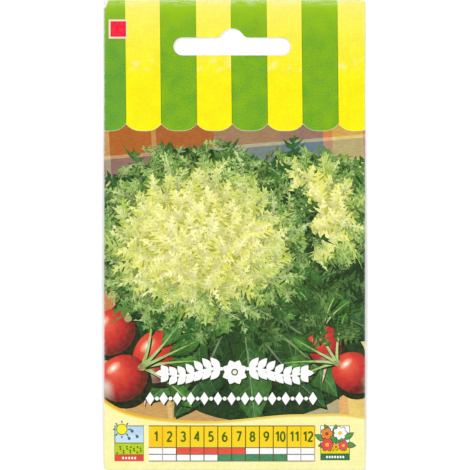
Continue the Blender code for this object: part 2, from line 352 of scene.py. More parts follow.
def stroke(sheet, points, width, ink):
    """A line of even width, as a box for each stretch and a dot for each joint."""
    for (x0, y0), (x1, y1) in zip(points, points[1:]):
        half = width / 2 / math.dist((x0, y0), (x1, y1))
        nx, ny = (y0 - y1) * half, (x1 - x0) * half
        sheet.lay([(x0 - nx, y0 - ny), (x1 - nx, y1 - ny), (x1 + nx, y1 + ny), (x0 + nx, y0 + ny)], ink)
    for x, y in points[1:-1]:
        sheet.lay(ellipse(x, y, width / 2, steps=8), ink)


def smooth_curve(points, steps):
    """A curve through the points, with steps stretches between each two."""
    padded = [points[0]] + points + [points[-1]]
    curve = []
    for a, b, c, d in zip(padded, padded[1:], padded[2:], padded[3:]):
        for i in range(steps):
            u = i / steps
            curve.append(tuple(
                0.5 * (2 * q + (r - p) * u + (2 * p - 5 * q + 4 * r - s) * u**2
                       + (3 * q - p - 3 * r + s) * u**3)
                for p, q, r, s in zip(a, b, c, d)
            ))
    return curve + [points[-1]]


def slot_outline():
    """The slot's outline in the folded packet's x and y, anticlockwise."""
    radius = SLOT_BAR / 2
    reach = SLOT_LENGTH / 2 - radius
    axis_y = SLOT_BOTTOM_Y + radius
    bar_top = SLOT_BOTTOM_Y + SLOT_BAR
    hump_y = bar_top + SLOT_HUMP - SLOT_HUMP_RADIUS
    flare_y = bar_top + SLOT_FLARE_RADIUS
    between = SLOT_HUMP_RADIUS + SLOT_FLARE_RADIUS
    meeting = math.degrees(math.asin((flare_y - hump_y) / between))
    flare_x = between * math.cos(math.radians(meeting))
    arcs = (
        (reach, axis_y, radius, -90, 90, 16),
        (flare_x, flare_y, SLOT_FLARE_RADIUS, -90, meeting - 180, 6),
        (0, hump_y, SLOT_HUMP_RADIUS, meeting, 180 - meeting, 16),
        (-flare_x, flare_y, SLOT_FLARE_RADIUS, -meeting, -90, 6),
        (-reach, axis_y, radius, 90, 270, 16),
    )
    outline = []
    for x, y, r, start, stop, steps in arcs:
        for point in arc(SLOT_X + x, y, r, r, start, stop, steps):
            if not outline or math.dist(point, outline[-1]) > 0.01:
                outline.append(point)
    return outline


def slots_in_sheet():
    """The slot where it goes through the front, the top flap and the two wings."""
    front = slot_outline()
    over = 2 * END + FOLD_ARC
    return [
        front,
        [(x, over - y) for x, y in front],
        [(-BEHIND - x, y) for x, y in front],
        [(BEHIND - x, y) for x, y in front],
    ]


def sheet_outline():
    """The unfolded sheet: the front panel with a wing at each side and a flap at each end."""
    wing = END - CORNER_NOTCH
    flap = SIDE - CORNER_NOTCH
    tip = flap - FLAP_TAPER
    return [
        (LEFT_END, -wing), (-SIDE, -wing), (-SIDE, -END), (-flap, -END), (-tip, BOTTOM_END),
        (tip, BOTTOM_END), (flap, -END), (SIDE, -END), (SIDE, -wing), (RIGHT_END, -wing),
        (RIGHT_END, wing), (SIDE, wing), (SIDE, END), (flap, END), (tip, TOP_END),
        (-tip, TOP_END), (-flap, END), (-SIDE, END), (-SIDE, wing), (LEFT_END, wing),
    ]


# The print. First the picture, then the awning over it, the band under it and the back.

STRIPE = 9.64
STRIPE_START = -29.75  # the first boundary, at the middle of the header
STRIPE_LEAN = 0.01  # to the right, for each millimetre down
AWNING_END = 28.4
SCALLOP = 1.9
AWNING_MIDDLE_Y = 46.0
OVERPRINT_WIDTH = 0.2  # where the two inks meet
SHEEN_REACH = 4.8  # how far down the painted sheen on the header's pale top thins to a third
# The colours of the painted sheen that the header's inks pale to towards the top
SHEEN_GREEN = linear("a6d018")
SHEEN_YELLOW = linear("fdf65e")


def fading_to(pale):
    """Ink that pales towards the packet's top: a painted sheen."""
    def shade(light, deep, along, across):
        share = np.exp(-np.abs(END - across) / SHEEN_REACH)[:, None]
        return mix(light, pale, share), mix(deep, pale, share)
    return shade


# The stripes' inks pale into the painted sheen towards the top.
EDGE_GREEN = Ink("78ae2a", "559d36", shade=fading_to(SHEEN_GREEN), grain=SPECKS)
GREEN = Ink("8ab910", "65a529", shade=fading_to(SHEEN_GREEN), grain=SPECKS)
OVERPRINT = Ink("6f9410", "5c8a1c", shade=fading_to(SHEEN_GREEN), grain=SPECKS)
YELLOW = Ink("fffa00", "fcec00", shade=fading_to(SHEEN_YELLOW), grain=SPECKS)
BAND = Ink("fffcbc", "fdf8a8", grain=SPECKS)
WHITE = "ffffff"
OUTLINE = "3c4630"


def stripe_edge(k, t):
    return STRIPE_START + k * STRIPE + STRIPE_LEAN * (AWNING_MIDDLE_Y - t)


def draw_awning(sheet):
    """Stripes with scalloped ends, which run on over the top fold to the flap."""
    rim = "d8dec0"
    for k in range(8):
        ink = EDGE_GREEN if k == 0 else (GREEN, YELLOW)[k % 2]
        left, right = stripe_edge(k - 1, AWNING_END), stripe_edge(k, AWNING_END)
        for low, outline_ink in ((-0.12, rim), (0.0, ink)):
            scallop = []
            for u in spaced(-1, 1, 14):
                rise = SCALLOP * abs(u)**3
                scallop.append((mix(left, right, (1 + u) / 2), AWNING_END + low + rise))
            top = [(stripe_edge(k, TOP_END), TOP_END), (stripe_edge(k - 1, TOP_END), TOP_END)]
            sheet.lay(scallop + top, outline_ink)
    foot = AWNING_END + SCALLOP + 0.1
    for k in range(7):
        at, over = stripe_edge(k, foot), stripe_edge(k, TOP_END)
        half = OVERPRINT_WIDTH / 2
        line = [(at - half, foot), (at + half, foot), (over + half, TOP_END), (over - half, TOP_END)]
        sheet.lay(line, OVERPRINT)
    chipped = [(-37, 61.9), (-35.1, 61.9), (-34.9, 62.6), (-34.55, 63.2), (-34.4, 65), (-37, 65)]
    sheet.lay(chipped, "f2f5e6")


def draw_price_square(sheet):
    sheet.box(-34.3, 53.5, -29.35, 58.7, "ffdccc")
    sheet.box(-33.8, 54.0, -29.6, 58.2, "d4103c")
    sheet.box(-33.55, 54.25, -29.85, 57.95, "fc0c3c fb0046")


WAVE = [(-37, -45.35), (-35.5, -45.95), (-29.8, -48.95), (-20, -50.85), (-5, -51.3), (12.4, -49.7),
        (20.8, -49.5), (28.5, -49.35), (35.2, -50.15), (37, -50.45)]
PALE_GOLD = linear("f2df76")


def to_the_right(x):
    """How far the golden line has thinned and paled, from 0 at the left to 1."""
    return smooth(x, -30, 0)


def paling(light, deep, along, across):
    """The golden line's two colours, paler towards the right."""
    share = 0.6 * to_the_right(along)[:, None]
    return mix(light, PALE_GOLD, share), mix(deep, PALE_GOLD, share)


def draw_band(sheet):
    """The pale band at the foot, with a golden line along its waved top."""
    wave = smooth_curve(WAVE, 5)
    bottom = [(37, BOTTOM_END), (-37, BOTTOM_END)]
    for width, ink in (
        (1.2, Ink("e6b03a", shade=paling)), (0.65, Ink("efc83e", shade=paling)),
        (0.32, Ink("fae26c", shade=paling)), (0.0, BAND),
    ):
        top = [(x, y + width * mix(1.0, 0.6, to_the_right(x))) for x, y in wave]
        sheet.lay(top + bottom, ink)


# The numbers on the calendar, as strokes in a box 1 wide and 2 tall

def digit_strokes(digit):
    loop = arc(0.5, 0.58, 0.46, 0.58, 0, 360, 14)
    hook = arc(1.0, 0.6, 0.96, 1.4, 180, 108, 6)
    strokes = {
        0: [arc(0.5, 1, 0.46, 1, 0, 360, 14)],
        1: [[(0.15, 1.55), (0.62, 2), (0.62, 0)]],
        2: [arc(0.5, 1.5, 0.44, 0.5, 160, -40) + [(0.05, 0), (1, 0)]],
        3: [arc(0.45, 1.52, 0.42, 0.47, 150, -90), arc(0.45, 0.53, 0.48, 0.53, 90, -150)],
        4: [[(0.72, 0), (0.72, 2), (0, 0.6), (1, 0.6)]],
        5: [[(0.9, 2), (0.2, 2), (0.14, 1.1)] + arc(0.45, 0.62, 0.48, 0.62, 130, -140)],
        6: [loop, hook],
        7: [[(0.05, 2), (1, 2), (0.4, 0)]],
        8: [arc(0.5, 1.5, 0.38, 0.48, 0, 360, 12), arc(0.5, 0.52, 0.46, 0.52, 0, 360, 14)],
        9: [[(1 - x, 2 - y) for x, y in line] for line in (loop, hook)],
    }
    return strokes[digit]


NUMBER_STROKE = 0.5
DIGIT_GAP = 0.42


def draw_number(sheet, number, x, y, height, ink):
    """A plain number, centred on x and standing on y."""
    digits = [int(d) for d in str(number)]
    scale = height / 2
    widths = [0.7 if digit == 1 else 1.0 for digit in digits]
    left = x - scale * (sum(widths) + DIGIT_GAP * (len(digits) - 1)) / 2
    for digit, width in zip(digits, widths):
        for line in digit_strokes(digit):
            stroke(sheet, [(left + u * scale, y + v * scale) for u, v in line], NUMBER_STROKE, ink)
        left += scale * (width + DIGIT_GAP)


CALENDAR_LEFT = -23.4
CALENDAR_TOP = -51.96
MONTH = 3.767
HEAD_HEIGHT = 5.91
ROW_HEIGHT = 1.84
SOW_MONTHS = range(2, 7)
PICK_MONTHS = range(5, 10)
RULE = 0.27
NUMBER_FOOT = CALENDAR_TOP - 4.15
NUMBER_HEIGHT = 2.5


def draw_calendar(sheet):
    """Twelve numbered months, and under them when to sow and when to pick."""
    right = CALENDAR_LEFT + 12 * MONTH
    head_foot = CALENDAR_TOP - HEAD_HEIGHT
    middle = head_foot - ROW_HEIGHT
    foot = middle - ROW_HEIGHT
    half = RULE / 2
    sheet.box(CALENDAR_LEFT, foot, right, CALENDAR_TOP, WHITE)
    gold = shades("ffc812 fdd604")
    for k in range(12):
        x0, x1 = CALENDAR_LEFT + k * MONTH, CALENDAR_LEFT + (k + 1) * MONTH
        tone = min(1.0, k / 3, (13 - k) / 3)
        sheet.box(x0, head_foot, x1, CALENDAR_TOP, Ink(mix(*gold, tone), "ffd90a"))
        if k in SOW_MONTHS:
            sheet.box(x0, middle, x1, head_foot, "f25a4c ea4a44")
        if k in PICK_MONTHS:
            sheet.box(x0, foot, x1, middle, "4b9465 3c8558")
    dark, grey = "64501e", "74706c"
    for y, ink in ((CALENDAR_TOP, dark), (head_foot, grey), (middle, grey), (foot, grey)):
        sheet.box(CALENDAR_LEFT, y - half, right, y + half, ink)
    for k in range(1, 13):
        x = CALENDAR_LEFT + k * MONTH
        above, below = (dark, dark) if 2 <= k <= 10 else ("c79a24", "b8a9a4")
        sheet.box(x - half, head_foot, x + half, CALENDAR_TOP, above)
        sheet.box(x - half, foot, x + half, head_foot, below)
    ink = "44700e 365f14"
    for k in range(12):
        draw_number(sheet, k + 1, CALENDAR_LEFT + (k + 0.5) * MONTH, NUMBER_FOOT, NUMBER_HEIGHT, ink)


def draw_sun(sheet, x, y, radius):
    for k in range(8):
        a = math.pi / 4 * k
        ray = [curved(u, 0, (x, y, a)) for u in (radius * 1.3, radius * 1.8)]
        sheet.lay(ribbon(ray, radius * 0.3, radius * 0.2), OUTLINE)
    sheet.lay(ellipse(x, y, radius * 1.14, steps=18), OUTLINE)
    sheet.lay(ellipse(x, y, radius, steps=18), "fdf21c")


def draw_drop(sheet, x, y, radius, ink):
    tip = (x - radius * 1.1, y + radius * 1.6)
    sheet.lay(arc(x, y, radius, radius, -170, 60, 10) + [tip], ink)


def draw_blossom(sheet, x, y, radius, petals, ink, eye):
    """A flower from above, with a dark line round its petals."""
    for grow, paint_ink in ((1.12, OUTLINE), (1.0, ink)):
        points = []
        for i in range(petals * 6):
            a = 2 * math.pi * i / (petals * 6)
            lobe = 0.74 + 0.26 * abs(math.cos(petals * a / 2))
            points.append((x + grow * radius * lobe * math.cos(a), y + grow * radius * lobe * math.sin(a)))
        sheet.lay(points, paint_ink)
    sheet.lay(ellipse(x, y, radius * 0.3, steps=10), eye)


def draw_small_leaf(sheet, x, y, length, width, degrees, ink):
    frame = (x, y, math.radians(degrees))
    grown = (x - 0.15 * math.cos(frame[2]), y - 0.15 * math.sin(frame[2]), frame[2])
    sheet.lay(leaf_outline(grown, length + 0.35, width + 0.35, steps=8), OUTLINE)
    sheet.lay(leaf_outline(frame, length, width, steps=8), ink)


def draw_dots(sheet, count, x, y, pitch=0.82):
    """A row of white dots, centred on x."""
    for k in range(count):
        sheet.lay(ellipse(x + (k - (count - 1) / 2) * pitch, y, 0.28, 0.36, steps=10), WHITE)


def draw_weather_sign(sheet):
    """Sun and rain over the soil, beside the calendar."""
    x0, x1, y1 = -32.6, -24.85, CALENDAR_TOP
    sky_foot, soil_foot, y0 = -56.64, -59.85, -61.6
    line = 0.13
    edge = "6d7a86"
    sheet.box(x0 - line, y0, x1 + line, y1 + line, edge)
    for share, ink in ((0.0, "bedcf2"), (0.5, "cee6f8")):
        sheet.box(x0 + line, sky_foot, x1, mix(y1, sky_foot, share) - line, ink)
    sheet.box(x0, soil_foot, x1, sky_foot, "c6da26 b2ca1a")
    sheet.box(x0 - line, sky_foot - line, x1 + line, sky_foot + line, "7a8c2e")
    for k in range(16):
        x = x0 + 0.6 + (k * 0.5698 % 1) * (x1 - x0 - 1.2)
        y = mix(soil_foot + 0.5, sky_foot - 0.6, k * 0.7549 % 1)
        sheet.lay(ellipse(x, y, 0.32, 0.24, k, 8), "56741a")
    sheet.box(x0, y0, x1, soil_foot, "ef4d4a e84446")
    sheet.box(x0, soil_foot - line, x1, soil_foot + line, "b9472c")
    draw_dots(sheet, 5, (x0 + x1) / 2, (y0 + soil_foot) / 2)
    draw_sun(sheet, -30.7, -52.9, 1.35)
    drop = "4c6a86 3d5a78"
    for x, y in ((-27.9, -53.4), (-26.5, -54.9), (-28.7, -55.4)):
        draw_drop(sheet, x, y, 0.42, drop)


def draw_flower_sign(sheet):
    """Flowers in a trough, beside the calendar."""
    x0, x1, y1 = 23.5, 31.2, -52.0
    row_top, row_foot, y0 = -57.2, -59.6, -61.3
    leaf = "5ca04c 4a8c44"
    sheet.box(x0 - 0.15, y0 - 0.05, x1 + 0.15, y1 + 0.15, OUTLINE)
    sheet.box(x0, row_top, x1, y1, WHITE)
    sheet.box(x0, row_foot, x1, row_top, "f2dc1e e8cc10")
    sheet.box(x0 - 0.1, y0, x1 + 0.1, row_foot, "35764f 2d6b47")
    for x, y, length, degrees in (
        (24.6, -55.9, 3.1, 150), (29.6, -55.6, 3.3, 32), (27.2, -55.2, 3.6, 84), (30.2, -57.0, 2.8, -8),
        (25.2, -57.0, 2.4, 190), (26.0, -54.4, 3.2, 118), (27.4, -56.8, 3.0, 60), (27.6, -56.6, 3.0, 128),
        (29.0, -56.4, 2.6, 96),
    ):
        draw_small_leaf(sheet, x, y, length, 1.4, degrees, leaf)
    eye = "f6c420"
    draw_blossom(sheet, 28.7, -53.9, 1.85, 7, "fdfdfa", eye)
    draw_blossom(sheet, 25.1, -54.1, 1.6, 5, "ee8a3c", "a8431c")
    draw_blossom(sheet, 25.2, -57.1, 1.75, 6, "ee4650", eye)
    draw_blossom(sheet, 29.6, -57.3, 1.4, 5, "e8505c", eye)
    draw_blossom(sheet, 27.6, -57.7, 0.95, 5, "f2b21c", "a8431c")
    for k in range(6):
        sheet.lay(ellipse(x0 + 0.9 + 1.2 * k, -58.7 + 0.3 * (k % 2), 0.3, 0.22, steps=8), "8d9a1e")
    sheet.box(x0 - 0.1, row_foot - 0.1, x1 + 0.1, row_foot + 0.1, OUTLINE)
    draw_dots(sheet, 7, (x0 + x1) / 2, (y0 + row_foot) / 2, 0.74)


# The picture: two heads of curly salad on a checked cloth, with radishes and broad leaves

PICTURE_TOP = 33.0
BLEED = 37.0
SPRAY_STOPS = (0.0, 0.7, 0.95, 1.12, 1.3, 1.6)
SPRAY_LIGHTS = shades("f8f5b8 f1ed9c dde28c bfd276 a6c46c 8fb362")
SPRAY_DEEPS = shades("e4e066 d6d656 a6ba4a 5f9040 33692f 204e26")
PALE = linear("fbf9cc")
GOLDEN_TURN = math.pi * (3 - math.sqrt(5))


def along_stops(value, stops, colours):
    """The colours at values, read between the colours at the stops."""
    table = np.array(colours)
    return np.stack([np.interp(value, stops, table[:, i]) for i in range(3)], -1)


class Head:
    """A head of salad: where its pale heart is, and how far that reaches across and up."""

    def __init__(self, x, y, width, height):
        self.x, self.y = x, y
        self.width, self.height = width, height
        self.root = (x + 0.1 * width, y - 0.7 * height)

    def far(self, x, y):
        """How far out a place is, 1 at the heart's edge."""
        return np.hypot((x - self.x) / self.width, (y - self.y) / self.height)


BACK_HEAD = Head(19.0, 6.5, 13.5, 11.5)
FRONT_HEAD = Head(-9.5, -1.0, 21.5, 17.5)

# The cloth's rows by their upper edges, and its columns by their left ones, with their colours
CLOTH_ROWS = (
    (36, "bf6a2c"), (24.3, "d8c9a0"), (23.4, "6c7c8c"), (18.0, "c9c8a8"), (9.0, "e0a04c"),
    (-3.0, "d0c88c"), (-13.0, "e39a66"), (-25.0, "d2dcb8"), (-38.0, "e98c5e"), (-43.5, "efcf84"),
)
CLOTH_COLUMNS = (
    (-42, "b8642c"), (-33.9, "dcbf7c"), (-32.4, "b4622c"), (-21.0, "d8b070"), (-19.7, "a85c34"),
    (-4.0, "8c9480"), (14.0, "6e828c"), (25.5, "ee9a5a"), (28.0, "f6d668"), (36.4, "e9785a"),
)
CLOTH_FOOT = -56
CLOTH_RIGHT = 43
ROW_LEAN = 0.085
COLUMN_LEAN = -0.06


def draw_cloth(sheet):
    """A checked cloth that lies a little askew: each check mixes its row's and its column's colour."""
    row_ends = [y for y, _ in CLOTH_ROWS[1:]] + [CLOTH_FOOT]
    column_ends = [x for x, _ in CLOTH_COLUMNS[1:]] + [CLOTH_RIGHT]
    for (y1, row), y0 in zip(CLOTH_ROWS, row_ends):
        for (x0, column), x1 in zip(CLOTH_COLUMNS, column_ends):
            corners = [
                (x + COLUMN_LEAN * y, y + ROW_LEAN * x) for x, y in ((x0, y0), (x1, y0), (x1, y1), (x0, y1))
            ]
            light = mix(linear(row), linear(column), 0.5)
            sheet.lay(corners, Ink(light, 0.84 * light, (0, 0, ROW_LEAN)))


def draw_head_base(sheet, head, draw):
    """What shows between the fronds: olive in the heart and dark green round it."""
    tones = shades("c8cc50 94a63e 3f6c2c 1b3d22")

    def shade(light, deep, along, across):
        base = along_stops(head.far(along, across), (0.7, 0.9, 1.05, 1.25), tones)
        return base, 0.6 * base

    ink = Ink("ffffff", shade=shade)
    width, height = 1.5 * head.width, 1.42 * head.height
    ragged = []
    for i in range(90):
        a = 2 * math.pi * i / 90
        reach = draw.uniform(0.88, 1.04)
        ragged.append((head.x + width * reach * math.cos(a), head.y + height * reach * math.sin(a)))
    sheet.lay(ragged, ink)
    for share in (0.86, 0.77, 0.67, 0.56, 0.45, 0.3, 0.15):
        sheet.lay(ellipse(head.x, head.y, width * share, height * share, steps=40), ink)


def frond_shade(length, width, depth):
    """Pale along the rib and at the fingertips, and darker at the foot."""
    def shade(light, deep, along, across):
        tip = smooth(along, 0, 0.75 * length)[:, None]
        out = np.clip(2 * np.abs(across) / width, 0, 1)[:, None]
        lit = mix(1 - depth, 1.08, tip) * mix(1.08, 0.96, out)
        return np.minimum(light * lit, 1), deep * lit
    return shade


def add_frond(sheet, head, draw, x, y, length, width, pitch, tone, swing):
    """A frond with its middle at x, y, which points away from the head's root.

    Its fingers are pitch apart. A tone under 0 is darker than the head is there, and over 0 paler.
    """
    angle = math.atan2(y - head.root[1], x - head.root[0]) + draw.uniform(-swing, swing)
    far = head.far(x, y) + draw.uniform(-0.12, 0.12)
    light = along_stops(far, SPRAY_STOPS, SPRAY_LIGHTS)
    deep = along_stops(far, SPRAY_STOPS, SPRAY_DEEPS)
    light = mix(light, deep, min(1.0, max(0, -tone) + draw.uniform(0, 0.3)))
    deep = deep * mix(1.0, 0.55, max(0, -tone))
    light, deep = mix(light, PALE, max(0, tone)), mix(deep, light, max(0, tone))
    frame = (x - length / 2 * math.cos(angle), y - length / 2 * math.sin(angle), angle)
    bend = draw.uniform(-0.12, 0.12)
    depth = mix(0.3, 0.6, smooth(far, 0.8, 1.2))
    ink = Ink(light, deep, frame, bend, frond_shade(length, width, depth))
    sheet.lay(frond_outline(frame, length, width, bend, max(3, round(length / pitch)), draw), ink)


HEAD_LAYERS = (
    (0.2, 0.95, 1.45, 8.2, 6.6, 1.7, -0.8, 1.1),
    (0.14, 0.95, 1.42, 8.0, 4.8, 1.4, -0.25, 1.0),
    (0.2, 0.98, 1.48, 5.4, 3.1, 1.2, 0.12, 1.8),
    (0.1, 0.78, 1.12, 8.6, 5.2, 1.45, -0.1, 0.8),
    (0.07, 0.7, 1.25, 9.4, 2.8, 1.35, 0.3, 0.5),
    (0.23, 0.0, 0.98, 7.6, 4.9, 1.4, 0.0, 0.9),
    (0.2, 0.0, 1.02, 5.6, 2.6, 1.15, 0.4, 1.0),
)


def draw_head(sheet, head, draw):
    """Layers of curly fronds, the dark ones under the bright ones and the heart on top.

    Each layer has its fronds for a square millimetre, where it starts and ends, its fronds'
    length, width, pitch and tone, and how far they swing.
    """
    draw_head_base(sheet, head, draw)
    for layer, (share, near, far, length, width, pitch, tone, swing) in enumerate(HEAD_LAYERS):
        count = round(share * head.width * head.height)
        for i in range(count):
            reach = math.sqrt(mix(far**2, near**2, (i + 0.5) / count))
            turn = GOLDEN_TURN * i + layer
            x = head.x + head.width * reach * math.cos(turn) + draw.uniform(-1, 1)
            y = head.y + head.height * reach * math.sin(turn) + draw.uniform(-1, 1)
            grow = draw.uniform(0.8, 1.25)
            if abs(x) < BLEED + 1 and y < PICTURE_TOP - 5:
                add_frond(sheet, head, draw, x, y, length * grow, width * grow, pitch, tone, swing)


def leaf_shade(length, width):
    """Darker towards the edge and the foot, with a sheen over one half."""
    def shade(light, deep, along, across):
        out = np.clip(2 * np.abs(across) / width, 0, 1)[:, None]
        side = np.where(across > 0, 1.2, 0.82)[:, None]
        lit = mix(1.15, 0.65, out) * side * mix(0.55, 1.15, smooth(along, 0, 0.8 * length))[:, None]
        return light * lit, deep * lit
    return shade


def draw_broad_leaf(sheet, x, y, degrees, length, width, bend, light, deep):
    """A broad leaf with a pale rib and side veins, over its own shadow."""
    frame = (x, y, math.radians(degrees))
    ink = Ink(light, deep, frame, bend, leaf_shade(length, width))
    shadow = (x + 0.5, y - 0.6, frame[2])
    sheet.lay(leaf_outline(shadow, length, width * 1.05, bend, 18, wave=0.06), "162a1a 102014")
    for share in (1.0, 0.75, 0.5, 0.25):
        wave = 0.06 if share == 1.0 else 0.0
        outline = leaf_outline(frame, length * mix(1, share, 0.3), width * share, bend, 18, wave=wave)
        sheet.lay(outline, ink)
    base = linear(light)
    faint, pale = mix(base, PALE, 0.1), mix(base, PALE, 0.2)
    for k in range(1, 8):
        foot = length * (0.04 + 0.105 * k)
        reach = width / 2 * math.sin(math.pi * min(1, foot / length + 0.05)) * 0.85
        for sign in (-1, 1):
            steps = [(foot + u * 0.14 * length, sign * u**0.8 * reach) for u in spaced(0, 1, 3)]
            vein = [curved(*step, frame, bend) for step in steps]
            sheet.lay(ribbon(vein, 0.26, 0.06), Ink(faint, base, frame))
    rib = [curved(length * u, 0, frame, bend) for u in spaced(-0.05, 0.97, 9)]
    sheet.lay(ribbon(rib, 0.7, 0.1), Ink(pale, faint, frame))


RADISH_STOPS = (0.0, 0.25, 0.55, 0.9, 1.15, 1.3, 1.5)
RADISH_REDS = shades("f98a66 ef5a48 dc3a34 bc2630 8a1e28 641a20 7c2a2a")
RADISH_WHITES = shades("fffaf0 fbeee2 f2dccc dcbcae b08c80 84645c 946c60")


def radish_shade(radius, turn):
    """A ball lit from the upper left, red at its crown and white at its root, where turn points."""
    to_light = math.radians(135) - turn
    lit_along, lit_across = 0.5 * radius * math.cos(to_light), 0.5 * radius * math.sin(to_light)

    def shade(light, deep, along, across):
        far = np.hypot(along - lit_along, across - lit_across) / radius
        reds, whites = (along_stops(far, RADISH_STOPS, tones) for tones in (RADISH_REDS, RADISH_WHITES))
        waved = along + 0.12 * radius * np.cos(5 * across / radius)
        base = mix(reds, whites, smooth(waved, 0.5 * radius, 0.92 * radius)[:, None])
        return base, 0.9 * base
    return shade


def draw_radish_top(sheet, x, y, radius, degrees, draw):
    """A radish's stems and leaves, which grow from its crown at x, y, over their shadows."""
    for k, spread in enumerate((-48, 44, -22, 20, -2)):
        frame = (x, y, math.radians(degrees + spread + draw.uniform(-8, 8)))
        reach = radius * draw.uniform(0.8, 1.3)
        length, width = radius * draw.uniform(1.3, 1.7), radius * draw.uniform(0.6, 0.8)
        bend = 0.03 * spread / 48 * 7 / radius
        stem = [curved(reach * u, 0, frame, bend) for u in spaced(0, 1, 6)]
        stem_shadow = [(a + 0.3, b - 0.35) for a, b in stem]
        sheet.lay(ribbon(stem_shadow, 0.16 * radius, 0.12 * radius), "1c2c18")
        blade = (*stem[-1], frame[2] + bend * reach)
        under = (blade[0] + 0.3, blade[1] - 0.4, blade[2])
        ink = Ink(("4c8238", "62994a")[k % 2], "2f5e2a", blade, bend, leaf_shade(length, width))
        for at, grow_length, grow_width, steps, waist, wave, fill in (
            (under, 1.0, 1.06, 16, 0.58, 0.14, "16261a"), (blade, 1.0, 1.0, 18, 0.58, 0.14, ink),
            (blade, 0.9, 0.55, 12, 0.55, 0.0, ink),
        ):
            outline = leaf_outline(at, length * grow_length, width * grow_width, bend, steps, waist, wave)
            sheet.lay(outline, fill)
        vein = [curved(length * u, 0, blade, bend) for u in spaced(0, 0.85, 5)]
        sheet.lay(ribbon(stem, 0.15 * radius, 0.09 * radius), Ink("c3d690", "94b45c", frame, bend))
        sheet.lay(ribbon(vein, 0.09 * radius, 0.08), "b2cc7c 94b45c")
    sheet.lay(ellipse(x, y, 0.17 * radius, 0.15 * radius, steps=12), "a8b070 8a7848")


def draw_radish(sheet, x, y, radius, crown_degrees, draw):
    """A radish with its root, its top and a window's shine."""
    shadow = ellipse(x + 0.14 * radius, y - 0.18 * radius, 1.08 * radius, steps=32)
    sheet.lay(shadow, "22201a 1a2018")
    turn = math.radians(crown_degrees + 180)
    frame = (x, y, turn)
    bend = draw.choice((-1, 1)) * 0.25 / radius
    tail = [curved(radius * u, 0, frame, bend) for u in spaced(0.9, 2.0, 8)]
    sheet.lay(ribbon([(a + 0.2, b - 0.3) for a, b in tail], 0.26 * radius, 0.06), "2a2018")
    sheet.lay(ribbon(tail, 0.24 * radius, 0.03), "f6e4d4 d8b0a0")
    ink = Ink("cc3230", frame=frame, shade=radish_shade(radius, turn), grain=(0.5, 0.5))
    for share in (1.0, 0.92, 0.83, 0.74, 0.64, 0.54, 0.42, 0.3, 0.15):
        at = (x - 0.3 * radius * (1 - share), y + 0.3 * radius * (1 - share))
        sheet.lay(ellipse(*at, 1.08 * radius * share, 0.94 * radius * share, turn, 30), ink)
    for share, code in ((0.24, "f47e5e"), (0.18, "f8a890"), (0.11, "fcdccf"), (0.05, "fffaf4")):
        at = (x - 0.38 * radius, y + 0.42 * radius)
        sheet.lay(ellipse(*at, radius * share * 1.5, radius * share * 0.8, 0.7, 14), Ink(code))
    crown = curved(-0.92 * radius, 0, frame)
    draw_radish_top(sheet, *crown, radius, crown_degrees, draw)


def draw_ornament(sheet):
    """Two leafy sprigs round a flower, in white over a dark shadow."""
    middle_y, reach, wave, step = -37.3, 20.0, 1.0, 2.35
    for dx, dy, ink in ((0.4, -0.4, "222c1c"), (0.0, 0.0, WHITE)):
        for sign in (-1, 1):
            stem = [
                (sign * u + dx, middle_y + wave * math.sin(u / 3.1) + dy)
                for u in spaced(3.2, reach - 1, 20)
            ]
            sheet.lay(ribbon(stem, 0.9, 0.5), ink)
            for k in range(7):
                u = 4.0 + step * k
                foot_y = middle_y + wave * math.sin(u / 3.1) + dy
                for up in (-1, 1):
                    leaf = (sign * u + dx, foot_y, math.radians(90 - sign * (90 - 50 * up)))
                    sheet.lay(leaf_outline(leaf, 4.0 - 0.16 * k, 2.05, steps=8), ink)
            tip = (sign * (reach - 1.6) + dx, stem[-1][1] - 0.1, 0 if sign > 0 else math.pi)
            sheet.lay(leaf_outline(tip, 3.2, 1.8, steps=8), ink)
        for k in range(8):
            petal = (dx, middle_y + dy, math.radians(45 * k + 22.5))
            sheet.lay(leaf_outline(petal, 3.5, 2.1, steps=8, waist=0.62), ink)
    sheet.lay(ellipse(0, middle_y, 0.95, steps=14), "3d5a34")
    sheet.lay(ellipse(0, middle_y, 0.6, steps=12), "f8f4d8")


def draw_bead_row(sheet):
    """A row of lozenges and dots under the ornament."""
    count, left, right, y = 13, -23.0, 21.3, -44.5
    for dx, dy, ink in ((0.35, -0.35, "222c1c"), (0.0, 0.0, WHITE)):
        for k in range(count):
            x = mix(left, right, k / (count - 1)) + dx
            sheet.lay([(x - 1.2, y + dy), (x, y - 1.8 + dy), (x + 1.2, y + dy), (x, y + 1.8 + dy)], ink)
            if k < count - 1:
                between = x + (right - left) / (count - 1) / 2
                sheet.lay(ellipse(between, y + dy, 0.55, steps=10), ink)


